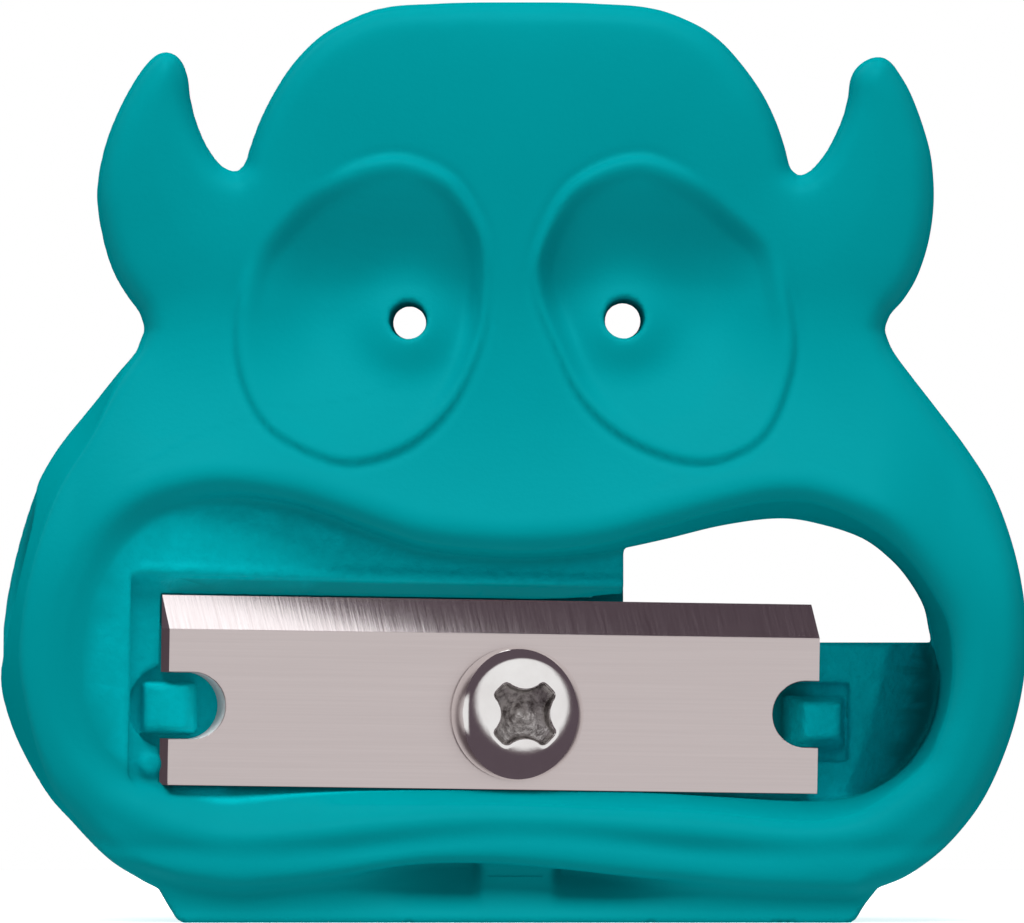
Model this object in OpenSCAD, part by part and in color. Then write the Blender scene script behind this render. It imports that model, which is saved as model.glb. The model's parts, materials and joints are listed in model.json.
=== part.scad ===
// Pencil sharpener: a one-piece moulded body shaped as a creature's head, with a steel blade
// held in its open mouth by one cross-recess screw. Millimetres, +Z up, the face looks along -Y,
// the foot stands on z = 0 and the pencil goes in from the left cheek, along +X.

/* [Body] */
// Half of the body's depth, from the middle plane to the lips' crest and to the flat back
half_depth = 6; // [5.8:0.1:6.5]
// How far the eye pads stand out of the forehead and the muzzle
eye_raise = 0.4; // [0.2:0.1:0.6]
// Depth of the dish inside each eye
eye_dish = 0.9; // [0.5:0.1:1.2]
// Diameter of each pupil hole
pupil_d = 1.3; // [1:0.1:1.8]
// Thickness of the head and horns, behind the forehead's plane
head_t = 4.8; // [4.4:0.1:5.4]

/* [Sharpening bore] */
// Radius of the entry bore that guides the pencil
bore_r = 4.1; // [3.9:0.05:4.2]
// Half angle of the sharpening cone, which is also the blade's slant
cone_a = 12; // [11.5:0.1:12.5]
// Height of the bore's axis above the foot
bore_z = 11.6; // [11.5:0.05:11.7]
// Radius of the relief hole at the small end of the cone, for the pencil's point
relief_r = 0.9; // [0.7:0.1:1]

/* [Blade] */
// Length of the blade
blade_len = 24; // [23.5:0.1:24]
// Thickness of the blade
blade_t = 1.5; // [1.3:0.1:1.6]
// Width of the ground bevel, seen from the front
bevel_w = 1.23; // [1:0.01:1.5]
// Width of the notch at each end of the blade
notch_w = 2.4; // [2.3:0.1:2.5]

/* [Screw] */
// Diameter of the screw's pan head
head_d = 4.7; // [4.4:0.1:5]
// Height of the pan head
head_h = 1.8; // [1.6:0.1:2]
// Outside diameter of the thread
thread_d = 2.6; // [2.4:0.1:2.6]
// Pitch of the thread
pitch = 0.9; // [0.8:0.1:1]

/* [Hidden] */
$fn = 96;
plastic = [0.0, 0.58, 0.6];
steel = [0.75, 0.73, 0.72];
screw_steel = [0.6, 0.59, 0.58];
eps = 0.02;                              // gap between parts that rest on each other
apex_x = 4.4;                            // where the cone would come to a point
entry_x = apex_x - bore_r / tan(cone_a); // where the entry bore turns into the cone
tube_end_x = 4;                          // where the cone's housing ends and the window begins
seat_z = 10;                             // top of the seat block, at the bottom of the window
screw_x = -0.2;                          // the screw's axis, where it meets the blade seat
screw_z = 7.5;
screw_y = -(apex_x - screw_x) * tan(cone_a) - 0.04;
blade_roll = 0.9;                        // the cutting edge drops slightly towards the right
blade_left = -12.8;                      // the blade's left end, from the screw's axis
edge_v = 4.1;                            // cutting edge above the screw's axis
back_v = -2.75;                          // the blade's back below it
floor_n = 1.2;                           // the housing's front face, above the seat plane
slot_v = 4.65;                           // the shavings slot's upper side
notch_l = 2.1;                           // depth of the left notch, and of the right one
notch_r = 1.7;
notch_v = 0.12;                          // the notches' middle line
hole_r = 1.5;                            // hole in the blade
pilot_r = thread_d / 2 + 0.05;           // hole in the body, a running fit round the thread
pilot_l = 5.2;
thread_l = 4.6;                          // thread below the blade

// Points on a smooth curve through the knots; closed runs on round from the last to the first
function spline(k, steps = 3, closed = false) =
    let (m = len(k), spans = closed ? m : m - 1)
    [for (i = [0 : spans - 1], s = [0 : steps - 1])
        let (t = s / steps,
             a = closed ? k[(i + m - 1) % m] : k[max(i - 1, 0)],
             b = k[i],
             c = k[(i + 1) % m],
             d = closed ? k[(i + 2) % m] : k[min(i + 2, m - 1)])
        0.5 * (2 * b + (c - a) * t + (2 * a - 5 * b + 4 * c - d) * t * t
               + (3 * b - a - 3 * c + d) * t * t * t)];

// Outline of the head seen from the front, anticlockwise from the foot's right corner
cheek_right = [[13.2, 1.3], [15.2, 2.4], [17, 4.5], [18.1, 7.3], [18.5, 10.2], [18, 13.6],
               [16.6, 16.6], [14.8, 19.2], [13.5, 21.3]];
horn_right = [[13.4, 21.4], [14.4, 23], [15.1, 25.3], [15.1, 27.3], [14.6, 29.3], [13.5, 31.1]];
horn_right_in = [[13.4, 31.15], [12.6, 30.9], [12.2, 29.8], [11.8, 28.5], [10.4, 26.9]];
crown = [[10.2, 26.9], [9.7, 28.3], [8.5, 30.6], [6.9, 32.2], [4.4, 33], [0, 33.2],
         [-4.2, 33], [-6.6, 32.2], [-8.2, 30.6], [-9.4, 28.3], [-9.9, 27]];
horn_left = [[-10.1, 27], [-11.2, 28.2], [-11.7, 29.6], [-12, 31], [-12.6, 31.35], [-13.2, 31.05],
             [-14.1, 29.5], [-14.9, 27.2], [-14.8, 24.8], [-14.2, 23], [-13.3, 21.4]];
cheek_left = [[-13.4, 21.3], [-14.7, 19.2], [-16.7, 16.6], [-18, 13.6], [-18.5, 10.2],
              [-18.2, 7.3], [-17, 4.5], [-15, 2.5], [-12.8, 1.3]];
foot = [[-12.8, 1.3], [-12, 0], [12.3, 0]];
outline = concat(spline(cheek_right), spline(horn_right), spline(horn_right_in), spline(crown),
                 spline(horn_left), spline(cheek_left), foot);

// The mouth's opening, between the crests of the lips
mouth = [[-15.8, 8.9], [-15.5, 11], [-14.6, 13.6], [-12.4, 15.2], [-10.2, 15.5], [-7.7, 15.1],
         [-4.8, 14.1], [-2.2, 13.4], [0.3, 13.3], [3.2, 13.6], [5.5, 14.2], [7.8, 14.9], [10.2, 15.2],
         [12.4, 14.4], [14.3, 13], [15.5, 11], [15.8, 9], [15.4, 6.8], [14.2, 5.1], [12.2, 4],
         [10.1, 3.7], [7.1, 4.1], [3.6, 4.2], [0, 4.3], [-3.6, 4.2], [-7.2, 3.9], [-10.2, 3.7],
         [-12.4, 4.3], [-14.3, 5.3], [-15.4, 6.8]];

// The window right of the cone's housing, open from front to back
window = concat([[15, seat_z]],
                spline([[15, 10.2], [14.7, 11.6], [14, 12.7], [12.7, 13.7], [11.2, 14.3],
                        [9.4, 14.5], [7.4, 14.3], [5.2, 13.8], [4.2, 13.5], [tube_end_x, 13.1]]),
                [[tube_end_x, seat_z]]);

// The eyes' outlines and their pupils
eye_left = [[-10.1, 21.5], [-9.8, 19.4], [-8.6, 17.5], [-5.7, 16.5], [-3.6, 17.2], [-2.1, 18.7],
            [-1.1, 20.9], [-0.8, 23.6], [-1.6, 26.2], [-4.1, 27.7], [-7.1, 26.6], [-9.5, 24.2]];
eye_right = [[0.7, 23.8], [0.9, 21.8], [2.2, 19.1], [4.1, 17.3], [6.8, 16.5], [9.3, 17.7],
             [10.2, 20.3], [9.9, 23.3], [8, 25.8], [6.2, 27.2], [4.4, 27.7], [2.2, 26.8]];
pupil_left = [-3.7, 21.65];
pupil_right = [4, 21.7];
face_y = -2.8;                           // the forehead's front plane, where the eyes stand
back_y = face_y + head_t;                // the head's back

// Side profile, as [y, z]: set-back foot, rolled lower lip, muzzle, forehead, crown and back
lip_under = [[-4.3, 1.2], [-4.9, 1.4], [-half_depth + 0.4, 2], [-half_depth + 0.1, 2.8],
             [-half_depth, 3.8]];
muzzle = [[-half_depth, 14.2], [-half_depth + 0.1, 15], [-half_depth + 0.5, 16], [-4.8, 17.3],
          [-4.2, 18.4], [-3.5, 19.8], [-3, 21.3], [face_y, 22.8], [face_y, 30.6],
          [face_y + 0.3, 32], [face_y + 1.2, 33], [face_y + 2.2, 33.2]];
back = [[back_y - 0.8, 33.2], [back_y - 0.2, 32.7], [back_y, 31.8], [back_y, 24], [back_y + 0.4, 21.6],
        [back_y + 1.8, 19.4], [half_depth - 1.2, 17.9], [half_depth - 0.2, 16.9], [half_depth, 15.8]];
profile = concat([[-4.3, 0]], spline(lip_under), [[-half_depth, 3.8]], spline(muzzle, 2), spline(back, 2),
                 [[half_depth, 15.8], [half_depth, 0.6], [half_depth - 0.6, 0]]);

// Turns a drawing of [x, z] points into a slab from y0 to y1
module slab(points, y0, y1) {
    translate([0, y1, 0]) rotate([90, 0, 0]) linear_extrude(y1 - y0) polygon(points);
}

// The blade seat's own frame: x along the blade, y up its width, z out of the seat
module seat_frame() {
    translate([screw_x, screw_y, screw_z]) rotate([0, 0, cone_a]) rotate([90, 0, 0]) children();
}
module blade_frame() {
    seat_frame() rotate([0, 0, -blade_roll]) children();
}

// A box given by its low and high corners
module span(low, high) {
    translate(low) cube(high - low);
}

// Everything inside the mouth: its walls, the floor over the housing, and the stepped blade seat
module mouth_cut() {
    intersection() {
        slab(spline(mouth, closed = true), -half_depth - 2, half_depth - 2);
        blade_frame() union() {
            span([-20, -8, floor_n], [20, 12, 14]);
            span([-20, -8, 0.75], [20, slot_v, 14]);
            span([-13.9, -8, 0.5], [20, slot_v, 14]);
            span([blade_left - 0.1, -8, 0], [20, slot_v, 14]);
            span([blade_left, edge_v - 0.25, -0.35], [8, slot_v, 1]);
        }
    }
}

// Bore, cone and point relief, turned about the pencil's axis
module pencil_cut() {
    relief_x = apex_x - relief_r / tan(cone_a);
    translate([0, 0, bore_z]) rotate([0, 90, 0]) rotate_extrude()
        polygon([[0, -20], [bore_r, -20], [bore_r, entry_x], [relief_r, relief_x],
                 [relief_r, tube_end_x + 0.5], [0, tube_end_x + 0.5]]);
}

// Shallow pockets under the two locating posts
module post_recesses() {
    blade_frame() {
        translate([-12.3, notch_v, -0.6]) cylinder(r = 1.45, h = 3);
        span([9.6, notch_v - 1.3, -0.6], [12.7, notch_v + 1.25, 3]);
    }
}

// The posts that stand in the blade's notches and stop it from turning
module posts() {
    blade_frame() {
        span([-12.9, notch_v - 0.9, -0.8], [-11.3, notch_v + 0.9, 0.7]);
        span([-12.6, notch_v - 0.7, 0.6], [-11.7, notch_v + 0.7, 1.3]);
        span([10.3, notch_v - 1, -0.8], [12.3, notch_v + 0.8, 0.5]);
        span([10.8, notch_v - 0.8, 0.4], [12.1, notch_v + 0.4, 1.3]);
        translate([-13.2, -2, 0.3]) cylinder(r = 0.4, h = 0.6);
    }
}

// One eye: the muzzle's slope and the forehead carried forward inside the eye's outline
module eye(points) {
    intersection() {
        slab(spline(points, closed = true), -half_depth, 0);
        translate([0, -eye_raise, 0]) rotate([90, 0, 90]) linear_extrude(44, center = true)
            polygon(profile);
    }
}

module eye_dishes() {
    r = (3.9 * 3.9 + eye_dish * eye_dish) / (2 * eye_dish);
    for (c = [[-5.2, 23.3], [5.2, 23.3]])
        translate([c[0], face_y - eye_raise + eye_dish - r, c[1]]) sphere(r = r);
    for (p = [pupil_left, pupil_right])
        translate([p[0], 0, p[1]]) rotate([90, 0, 0]) cylinder(d = pupil_d, h = 20, center = true);
}

// Pockets under the lower lip, beside the foot's middle rib
module foot_pockets() {
    for (x = [-5.6, 1.4]) span([x, -7, -1], [x + 4.2, -3.4, 1.75]);
}

module body() {
    color(plastic) union() {
        difference() {
            union() {
                intersection() {
                    slab(outline, -half_depth - 1, half_depth + 1);
                    rotate([90, 0, 90]) linear_extrude(44, center = true) polygon(profile);
                }
                eye(eye_left);
                eye(eye_right);
            }
            mouth_cut();
            pencil_cut();
            slab(window, -half_depth + 1, half_depth + 2);
            post_recesses();
            eye_dishes();
            foot_pockets();
            seat_frame() translate([0, 0, -pilot_l]) cylinder(r = pilot_r, h = pilot_l + 1);
        }
        posts();
    }
}

module blade() {
    color(steel) blade_frame() difference() {
        translate([blade_left, 0, eps]) rotate([90, 0, 90]) linear_extrude(blade_len)
            polygon([[back_v, 0], [edge_v, 0], [edge_v - bevel_w, blade_t], [back_v, blade_t]]);
        translate([0, 0, -1]) cylinder(r = hole_r, h = 4);
        for (side = [[blade_left, notch_l], [blade_left + blade_len, -notch_r]]) {
            end = side[0] + side[1] - sign(side[1]) * notch_w / 2;
            translate([end, notch_v, -1]) cylinder(d = notch_w, h = 4);
            span([min(end, side[0] - sign(side[1])), notch_v - notch_w / 2, -1],
                 [max(end, side[0] - sign(side[1])), notch_v + notch_w / 2, 4]);
        }
    }
}

module blade_screw() {
    seat = blade_t + 2 * eps;            // underside of the head
    r = head_d / 2;
    t = thread_d / 2;
    turns = floor((thread_l - 0.7) / pitch);
    thread = [for (i = [0 : turns - 1], p = [[t - 0.32, -0.1], [t, -0.5], [t - 0.32, -0.9]])
                 [p[0], p[1] * pitch - i * pitch]];
    dome = [for (a = [0 : 15 : 90]) [(r - 0.5) * cos(a) + 0.3 * cos(a),
                                     seat + 0.8 + (head_h - 0.8) * sin(a)]];
    color(screw_steel) seat_frame() difference() {
        rotate_extrude() polygon(concat([[0, seat + head_h]], [for (i = [len(dome) - 2 : -1 : 0]) dome[i]],
            [[r, seat + 0.55], [r, seat + 0.15], [r - 0.15, seat], [t - 0.1, seat], [t - 0.1, 0]],
            thread, [[t - 0.35, -thread_l + 0.6], [0.35, -thread_l], [0, -thread_l]]));
        for (a = [45, 135]) rotate([0, 0, a])
            translate([-1.45, -0.38, seat + 0.75]) cube([2.9, 0.76, 3]);
        translate([0, 0, seat + 0.2]) cylinder(r1 = 0.3, r2 = 1, h = head_h);
    }
}

body();
blade();
blade_screw();
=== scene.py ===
import json
import math
import bmesh
import bpy
import numpy as np
from mathutils import Matrix, Vector


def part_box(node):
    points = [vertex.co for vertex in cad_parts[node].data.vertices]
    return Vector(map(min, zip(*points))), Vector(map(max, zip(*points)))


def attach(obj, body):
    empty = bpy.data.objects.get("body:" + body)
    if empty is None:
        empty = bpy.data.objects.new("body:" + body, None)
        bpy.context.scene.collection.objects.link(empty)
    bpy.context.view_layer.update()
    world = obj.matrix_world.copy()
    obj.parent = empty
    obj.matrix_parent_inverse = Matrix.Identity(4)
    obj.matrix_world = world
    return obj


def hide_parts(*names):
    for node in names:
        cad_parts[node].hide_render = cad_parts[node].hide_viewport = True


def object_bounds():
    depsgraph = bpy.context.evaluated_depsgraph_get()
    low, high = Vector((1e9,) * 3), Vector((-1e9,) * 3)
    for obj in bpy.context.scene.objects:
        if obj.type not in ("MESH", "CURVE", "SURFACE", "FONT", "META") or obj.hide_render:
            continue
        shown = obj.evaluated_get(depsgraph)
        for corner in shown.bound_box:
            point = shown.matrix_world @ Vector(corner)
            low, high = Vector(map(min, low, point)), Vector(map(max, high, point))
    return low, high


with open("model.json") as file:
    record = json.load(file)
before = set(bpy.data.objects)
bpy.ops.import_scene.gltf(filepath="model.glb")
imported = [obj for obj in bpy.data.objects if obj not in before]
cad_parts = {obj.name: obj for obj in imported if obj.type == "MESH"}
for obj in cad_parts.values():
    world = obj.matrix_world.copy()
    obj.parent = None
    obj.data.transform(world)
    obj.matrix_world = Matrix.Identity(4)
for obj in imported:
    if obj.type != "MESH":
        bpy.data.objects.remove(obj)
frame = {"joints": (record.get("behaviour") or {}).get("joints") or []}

cad_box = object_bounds()
MM = 0.001

# ---------------------------------------------------------------------------------------
# Where things are, in millimetres of the CAD frame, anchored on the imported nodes' boxes
# ---------------------------------------------------------------------------------------
body_lo, body_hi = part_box("body")
MID_X = (body_lo.x + body_hi.x) / 2 / MM
joints = {j["name"]: j for j in frame["joints"]}
SEAT = np.array(joints["screw_turn"]["pos_m"]) / MM      # the screw's axis meets the blade seat
AXIS_N = np.array(joints["screw_turn"]["axis"])          # out of the seat, along the screw
AXIS_N = AXIS_N / np.linalg.norm(AXIS_N)
AXIS_U = np.array([-AXIS_N[1], AXIS_N[0], 0.0])          # along the blade, to the right
SLANT = math.atan2(AXIS_N[0], -AXIS_N[1])
ROLL = math.radians(0.9)          # how far the blade leans, seen from in front
APEX_X = 4.4                      # the point of the pencil's cone
BORE_R, BORE_Z, RELIEF_R = 4.1, 11.6, 0.9
TUBE_END = 4.0                    # where the cone's housing ends and the window begins
SEAT_TOP = 10.02                  # the window's sill

# The blade in its own space: u along it, v up its width and n out of its seat
BLADE_LEFT, BLADE_LEN, BLADE_T = -12.8, 24.0, 1.5
EDGE_V, BACK_V, BEVEL_W = 4.1, -2.75, 1.23
NOTCH_V, NOTCH_W, NOTCH_L, NOTCH_R = 0.12, 2.4, 2.1, 1.7
HOLE_R = 1.5
SEAT_GAP = 0.02                   # the blade stands this far off its seat

# The mouth's floor, as heights n over the blade's seat
PLATEAU_N = 1.2                   # the face of the cone's housing, above the blade
STRIP_N = 0.5                     # the strip at the left of the blade
SLOT_N, SLOT_W = -0.6, 1.05       # the cutting slot under the blade's edge
EDGE_GAP = 0.06                   # room above the blade's edge
RECESS_N, RECESS_FALL = -3.2, 0.85
POST_N = 1.3
LEFT_POST_U, RIGHT_POST_U = -12.55, 11.42


# ---------------------------------------------------------------------------------------
# Smooth curves and flat signed distances
# ---------------------------------------------------------------------------------------
def spline(knots, steps=8, closed=False):
    """Points on a smooth curve through the knots."""
    k = np.asarray(knots, float)
    m = len(k)
    out = []
    for i in range(m if closed else m - 1):
        a = k[(i - 1) % m] if closed else k[max(i - 1, 0)]
        b = k[i]
        c = k[(i + 1) % m]
        d = k[(i + 2) % m] if closed else k[min(i + 2, m - 1)]
        for t in np.arange(steps) / steps:
            out.append(0.5 * (2 * b + (c - a) * t + (2 * a - 5 * b + 4 * c - d) * t * t
                              + (3 * b - a - 3 * c + d) * t ** 3))
    if not closed:
        out.append(k[-1])
    return np.array(out)


def ramp(knots, at):
    """A smooth function through [position, value] knots."""
    p = spline(knots, 10)
    order = np.argsort(p[:, 0])
    return np.interp(at, p[order, 0], p[order, 1])


def flat_distance(points, x, z):
    """Signed distance to a closed outline in the x, z plane, negative inside."""
    best = np.full(x.shape, 1e9, np.float32)
    inside = np.zeros(x.shape, bool)
    for (x0, z0), (x1, z1) in zip(points, np.roll(points, -1, 0)):
        dx, dz = x1 - x0, z1 - z0
        length = dx * dx + dz * dz
        if length < 1e-12:
            continue
        t = np.clip(((x - x0) * dx + (z - z0) * dz) / length, 0, 1)
        np.minimum(best, (x - x0 - t * dx) ** 2 + (z - z0 - t * dz) ** 2, out=best)
        if z0 != z1:
            inside ^= ((z0 > z) != (z1 > z)) & (x < (z - z0) * dx / (z1 - z0) + x0)
    return np.where(inside, -1, 1) * np.sqrt(best)


def smax(a, b, r):
    """Both solids, with their shared edge rounded to radius r."""
    both = (a > -r) & (b > -r)
    return np.where(both, np.hypot(np.maximum(a + r, 0), np.maximum(b + r, 0)) - r,
                    np.maximum(a, b))


def smin(a, b, r):
    """Either solid, with a fillet of radius r where they meet."""
    return -smax(-a, -b, r)


def fade(x, lo, hi):
    """0 below lo, 1 above hi, smooth between."""
    t = np.clip((x - lo) / (hi - lo), 0, 1)
    return t * t * (3 - 2 * t)


# ---------------------------------------------------------------------------------------
# Outlines of the face, as [x, z]
# ---------------------------------------------------------------------------------------
cheek_right = [[13.15, 1.3], [14.3, 1.8], [15.7, 2.9], [16.95, 4.5], [17.9, 6.7], [18.4, 8.9],
               [18.45, 11.0], [18.1, 13.2], [17.35, 15.4], [16.4, 17.0], [15.2, 18.6],
               [14.35, 19.7], [13.7, 20.6], [13.4, 21.35]]
horn_right = [[13.4, 21.4], [13.62, 21.95], [14.1, 22.5], [14.6, 23.35], [15.0, 24.6],
              [15.18, 26.0], [15.1, 27.5], [14.8, 28.7], [14.3, 30.0], [13.75, 30.9]]
horn_tip_right = [[13.75, 30.9], [13.45, 31.15], [13.05, 31.18], [12.6, 30.95], [12.3, 30.5],
                  [12.15, 29.6], [11.9, 28.8], [11.4, 27.8], [10.8, 27.1], [10.35, 26.9]]
crown = [[10.35, 26.9], [10.0, 27.2], [9.78, 28.0], [9.45, 28.95], [8.95, 29.95], [8.2, 31.0],
         [7.4, 31.85], [6.4, 32.5], [5.0, 33.0], [2.8, 33.17], [0.2, 33.2], [-2.5, 33.17],
         [-4.7, 33.0], [-6.1, 32.45], [-7.1, 31.8], [-7.95, 30.9], [-8.6, 29.9], [-9.1, 28.9],
         [-9.45, 27.95], [-9.65, 27.35], [-10.0, 27.02]]
horn_left = [[-10.0, 27.02], [-10.55, 27.25], [-11.1, 27.95], [-11.5, 28.85], [-11.72, 29.7],
             [-11.85, 30.6], [-12.1, 31.15], [-12.5, 31.36], [-12.95, 31.2], [-13.5, 30.55],
             [-14.1, 29.5], [-14.6, 28.3], [-14.9, 27.1], [-14.98, 26.0], [-14.75, 24.6],
             [-14.4, 23.5], [-13.95, 22.7], [-13.45, 22.0], [-13.27, 21.4]]
cheek_left = [[-13.27, 21.35], [-13.55, 20.7], [-14.3, 19.75], [-15.15, 18.65], [-16.45, 17.0],
              [-17.3, 15.4], [-18.0, 13.2], [-18.42, 11.0], [-18.48, 8.9], [-17.97, 6.9],
              [-16.86, 4.8], [-15.8, 3.6], [-14.55, 2.35], [-13.4, 1.6], [-12.75, 1.27]]
foot = [[-12.75, 1.27], [-12.4, 0.6], [-12.1, 0.12], [-11.9, 0.0], [12.15, 0.0], [12.35, 0.12],
        [12.7, 0.7], [13.1, 1.25]]
outline = np.concatenate([spline(k) for k in (cheek_right, horn_right, horn_tip_right, crown,
                                              horn_left, cheek_left)] + [np.array(foot)])

mouth = spline([[-15.8, 8.9], [-15.65, 10.6], [-15.2, 12.3], [-14.4, 13.8], [-13.2, 14.9],
                [-11.9, 15.35], [-10.2, 15.48], [-7.7, 15.1], [-4.8, 14.1], [-2.9, 13.55],
                [0.3, 13.3], [3.2, 13.55], [5.4, 14.15], [7.6, 14.75], [9.4, 15.1], [11.0, 15.0],
                [12.7, 14.25], [13.9, 13.35], [14.9, 12.1], [15.6, 10.8], [15.82, 9.4],
                [15.7, 8.0], [15.35, 6.8], [14.7, 5.6], [13.0, 4.3], [11.8, 3.85], [10.2, 3.72],
                [7.1, 4.05], [4.7, 4.16], [0.0, 4.27], [-3.2, 4.23], [-5.5, 4.1], [-7.9, 3.8],
                [-10.2, 3.7], [-11.9, 4.2], [-13.1, 4.7], [-14.2, 5.3], [-15.1, 6.4],
                [-15.6, 7.6]], 6, True)

# the same opening at the depth of the blade's seat
mouth_deep = spline([[-15.38, 8.6], [-15.25, 10.2], [-14.95, 11.6], [-14.4, 12.75], [-13.6, 13.75],
                     [-12.7, 14.5], [-11.3, 15.08], [-9.7, 15.28], [-7.5, 14.95], [-4.8, 13.95],
                     [-2.9, 13.4], [0.3, 13.15], [3.2, 13.35], [5.3, 13.75], [7.6, 14.3],
                     [9.7, 14.55], [11.3, 14.3], [12.75, 13.8], [13.75, 13.05], [14.4, 12.3],
                     [14.95, 11.35], [15.15, 10.45], [15.35, 9.6], [15.5, 8.8], [15.4, 7.7],
                     [15.0, 6.6], [14.2, 5.5], [13.0, 4.7], [11.8, 4.4], [10.2, 4.32], [7.1, 4.5],
                     [4.7, 4.63], [0.0, 4.71], [-3.2, 4.77], [-5.5, 4.8], [-7.9, 4.84],
                     [-10.2, 4.88], [-12.0, 4.9], [-13.2, 5.02], [-14.1, 5.42],
                     [-14.85, 6.2], [-15.25, 7.2]], 6, True)

eye_left = spline([[-10.1, 21.45], [-9.85, 19.5], [-8.95, 17.85], [-7.35, 16.85], [-5.7, 16.47],
                   [-3.7, 17.1], [-2.1, 18.6], [-1.05, 20.9], [-0.77, 22.95], [-0.87, 24.7],
                   [-1.65, 26.3], [-2.5, 27.15], [-4.1, 27.68], [-5.7, 27.4], [-7.15, 26.6],
                   [-8.4, 25.5], [-9.65, 23.8]], 6, True)
eye_right = spline([[0.7, 24.05], [0.76, 22.5], [1.4, 20.85], [2.25, 19.05], [3.45, 17.75],
                    [5.05, 16.85], [6.85, 16.47], [8.45, 16.95], [9.4, 17.85], [10.05, 19.45],
                    [10.27, 20.9], [10.05, 22.5], [9.5, 24.4], [8.05, 25.75], [6.85, 26.8],
                    [5.6, 27.45], [4.4, 27.7], [2.8, 27.2], [1.6, 26.15]], 6, True)
PUPILS = ((-3.74, 21.63, 0.6), (3.98, 21.7, 0.65))
LIP_Y, FACE_Y = -6.0, -2.8        # how far forward the lips and the forehead stand
FOOT_Y, FOOT_FLARE = -4.95, 0.95


# ---------------------------------------------------------------------------------------
# Solids as signed distances on a grid, and the surface drawn from them
# ---------------------------------------------------------------------------------------
class Field:
    """A regular grid of signed distances, in millimetres."""

    def __init__(self, lo, hi, step):
        self.lo, self.step = np.array(lo, float), step
        n = [int(math.ceil((b - a) / step)) + 1 for a, b in zip(lo, hi)]
        self.axes = [(self.lo[i] + step * np.arange(n[i])).astype(np.float32) for i in range(3)]
        self.x = self.axes[0][:, None, None]
        self.y = self.axes[1][None, :, None]
        self.z = self.axes[2][None, None, :]
        self.flat_x, self.flat_z = np.meshgrid(self.axes[0], self.axes[2], indexing="ij")
        self.s = None

    def sample(self, p):
        """(distance, gradient) at points, by trilinear interpolation."""
        q = (p - self.lo) / self.step
        top = np.array(self.s.shape) - 2
        i = np.clip(np.floor(q).astype(int), 0, top)
        f = np.clip(q - i, 0, 1)
        c = [[[self.s[i[:, 0] + a, i[:, 1] + b, i[:, 2] + g] for g in (0, 1)] for b in (0, 1)]
             for a in (0, 1)]
        w = [(1 - f[:, k], f[:, k]) for k in range(3)]
        value = sum(c[a][b][g] * w[0][a] * w[1][b] * w[2][g]
                    for a in (0, 1) for b in (0, 1) for g in (0, 1))
        grad = np.stack([
            sum((c[1][b][g] - c[0][b][g]) * w[1][b] * w[2][g] for b in (0, 1) for g in (0, 1)),
            sum((c[a][1][g] - c[a][0][g]) * w[0][a] * w[2][g] for a in (0, 1) for g in (0, 1)),
            sum((c[a][b][1] - c[a][b][0]) * w[0][a] * w[1][b] for a in (0, 1) for b in (0, 1)),
        ], 1) / self.step
        return value, grad

    def direction(self, p):
        """The surface's outward direction at points, taken over two cells to stay smooth."""
        g = np.stack([self.sample(p + e)[0] - self.sample(p - e)[0]
                      for e in np.eye(3) * self.step], 1)
        return g / np.maximum(np.linalg.norm(g, axis=1), 1e-9)[:, None]

    def surface(self, pulls=2):
        """Vertices and quads of the zero level, pulled onto it."""
        s = self.s
        inside = s < 0
        corners = [(a, b, g) for a in (0, 1) for b in (0, 1) for g in (0, 1)]
        n = np.array(s.shape) - 1
        count = np.zeros(n, np.int8)
        for a, b, g in corners:
            count += inside[a:a + n[0], b:b + n[1], g:g + n[2]]
        cells = np.argwhere((count > 0) & (count < 8))
        index = np.full(n, -1, np.int32)
        index[tuple(cells.T)] = np.arange(len(cells))
        v = np.stack([s[cells[:, 0] + a, cells[:, 1] + b, cells[:, 2] + g]
                      for a, b, g in corners], 1)
        total, hits = np.zeros((len(cells), 3)), np.zeros(len(cells))
        at = np.array(corners, float)
        for i in range(8):
            for j in range(i + 1, 8):
                if np.abs(at[i] - at[j]).sum() != 1:
                    continue
                cross = (v[:, i] < 0) != (v[:, j] < 0)
                t = np.where(cross, v[:, i] / np.where(cross, v[:, i] - v[:, j], 1), 0)
                total += np.where(cross[:, None], at[i] + t[:, None] * (at[j] - at[i]), 0)
                hits += cross
        p = self.lo + (cells + total / hits[:, None]) * self.step
        quads = []
        for axis in range(3):
            one = [slice(1, -1)] * 3
            two = [slice(1, -1)] * 3
            one[axis], two[axis] = slice(0, -1), slice(1, None)
            a, b = inside[tuple(one)], inside[tuple(two)]
            e = np.argwhere(a != b)
            flip = a[tuple(e.T)]
            shift = np.ones(3, int)
            shift[axis] = 0
            e = e + shift
            u, w = (axis + 1) % 3, (axis + 2) % 3
            du, dw = np.eye(3, dtype=int)[u], np.eye(3, dtype=int)[w]
            ring = np.stack([index[tuple((e - du - dw).T)], index[tuple((e - dw).T)],
                             index[tuple(e.T)], index[tuple((e - du).T)]], 1)
            ring[~flip] = ring[~flip][:, ::-1]
            quads.append(ring[(ring >= 0).all(1)])
        for _ in range(pulls):
            d, g = self.sample(p)
            g2 = np.maximum((g * g).sum(1), 0.2)
            p = p - np.clip(d / g2, -self.step, self.step)[:, None] * g * 0.9
        return p, np.concatenate(quads)


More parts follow.
